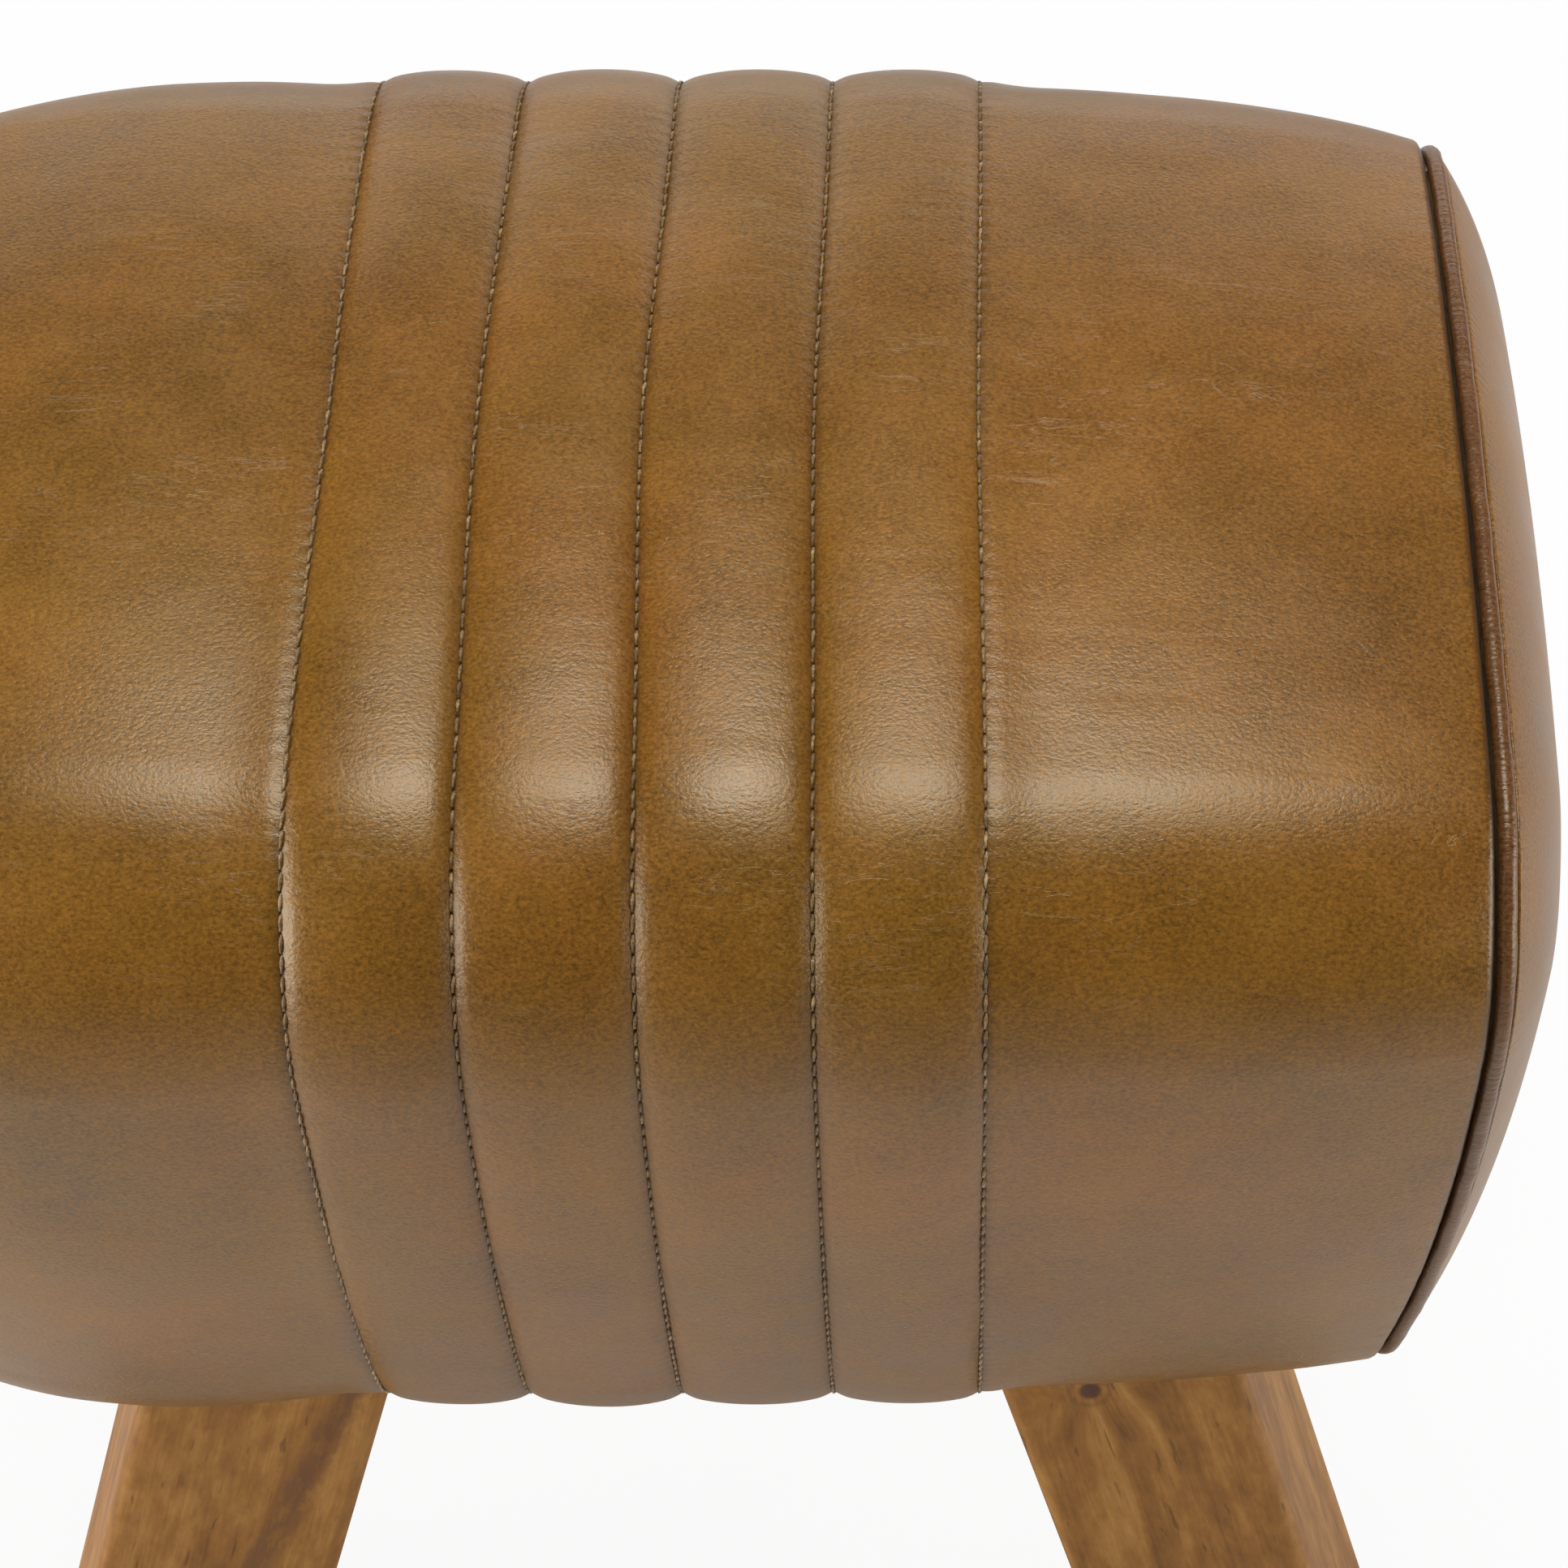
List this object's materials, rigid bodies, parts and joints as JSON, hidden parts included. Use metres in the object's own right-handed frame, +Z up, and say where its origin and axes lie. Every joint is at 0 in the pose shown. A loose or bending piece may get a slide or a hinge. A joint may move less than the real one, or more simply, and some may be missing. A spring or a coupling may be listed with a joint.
{
  "type": "leather stool",
  "caption": "Loaf-shaped padded leather stool with a ribbed, topstitched centre band, piped crowned ends and splayed square wooden legs.",
  "frame": {"origin": "on the floor under the middle of the stool", "axes": "+X along the body, +Y from the front long side to the back one, +Z up"},
  "size_m": [0.4568, 0.3384, 0.4824],
  "materials": {
    "leg_wood": "satin",
    "glide_plastic": "matte",
    "block_wood": "matte",
    "fixing_steel": "satin",
    "insert_steel": "satin",
    "carcass_ply": "matte",
    "foam": "matte",
    "wadding": "matte",
    "backing_cloth": "matte",
    "body_leather": "satin",
    "end_leather": "satin",
    "piping_leather": "matte",
    "welt_cord": "matte",
    "seam_thread": "matte",
    "cover_cloth": "matte"
  },
  "bodies": {
    "root": {"leg_front_left": "leg_wood", "leg_front_right": "leg_wood", "leg_back_left": "leg_wood", "leg_back_right": "leg_wood", "glide_front_left": "glide_plastic", "glide_front_right": "glide_plastic", "glide_back_left": "glide_plastic", "glide_back_right": "glide_plastic", "leg_block_front_left": "block_wood", "leg_block_front_right": "block_wood", "leg_block_back_left": "block_wood", "leg_block_back_right": "block_wood", "leg_bolts": "fixing_steel", "leg_washers": "fixing_steel", "carcass_screws": "fixing_steel", "cover_staples": "fixing_steel", "leg_inserts": "insert_steel", "base_board": "carcass_ply", "side_board_front": "carcass_ply", "side_board_back": "carcass_ply", "end_board_left": "carcass_ply", "end_board_right": "carcass_ply", "centre_divider": "carcass_ply", "top_deck": "carcass_ply", "foam_top": "foam", "foam_front": "foam", "foam_back": "foam", "end_slab_left": "foam", "end_slab_right": "foam", "end_pad_left": "foam", "end_pad_right": "foam", "rib_wadding_1": "wadding", "rib_wadding_2": "wadding", "rib_wadding_3": "wadding", "rib_wadding_4": "wadding", "rib_backing": "backing_cloth", "rib_panel_1": "body_leather", "rib_panel_2": "body_leather", "rib_panel_3": "body_leather", "rib_panel_4": "body_leather", "plain_panel_left": "body_leather", "plain_panel_right": "body_leather", "end_panel_left": "end_leather", "end_panel_right": "end_leather", "piping_cover_left": "piping_leather", "piping_cover_right": "piping_leather", "piping_cord_left": "welt_cord", "piping_cord_right": "welt_cord", "seam_thread_1": "seam_thread", "seam_thread_2": "seam_thread", "seam_thread_3": "seam_thread", "seam_thread_4": "seam_thread", "seam_thread_5": "seam_thread", "dust_cover": "cover_cloth"}
  },
  "joints": []
}
